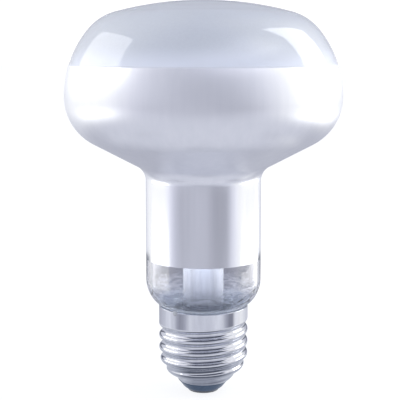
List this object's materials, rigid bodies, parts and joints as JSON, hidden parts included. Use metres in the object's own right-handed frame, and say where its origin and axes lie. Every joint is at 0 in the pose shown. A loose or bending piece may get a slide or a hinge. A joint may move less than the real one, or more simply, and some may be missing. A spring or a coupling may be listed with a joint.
{
  "type": "reflector bulb",
  "caption": "Mushroom-shaped reflector bulb with a frosted dome, silvered bowl and neck, clear glass neck end and a round-thread screw cap.",
  "frame": {"origin": "middle of the flat tip of the solder button on the centre contact", "axes": "+Z along the bulb's axis, from the cap towards the dome; the round form is the same about Z, and the rim's solder spot lies at 232 degrees from +X"},
  "size_m": [0.08, 0.08, 0.115],
  "materials": {
    "bulb_glass": "clear glass, frosted inside the dome, satin silvered inside the bowl and the upper neck",
    "stem_glass": "clear drawn tube",
    "cap_metal": "bright rolled sheet",
    "insulator_glass": "dark moulded glass",
    "contact_metal": "stamped, slightly dull",
    "solder": "smooth solder",
    "lead_wire": "drawn wire",
    "support_wire": "drawn wire",
    "tungsten": "dark coiled wire",
    "cement": "matt set cement"
  },
  "bodies": {
    "root": {"glass_envelope": "bulb_glass", "glass_stem": "stem_glass", "exhaust_tube": "stem_glass", "contact_lead_wire": "lead_wire", "shell_lead_wire": "lead_wire", "filament": "tungsten", "filament_support_1": "support_wire", "filament_support_2": "support_wire", "screw_shell": "cap_metal", "cap_insulator": "insulator_glass", "centre_contact": "contact_metal", "contact_solder": "solder", "rim_solder": "solder", "basing_cement": "cement"}
  },
  "joints": []
}
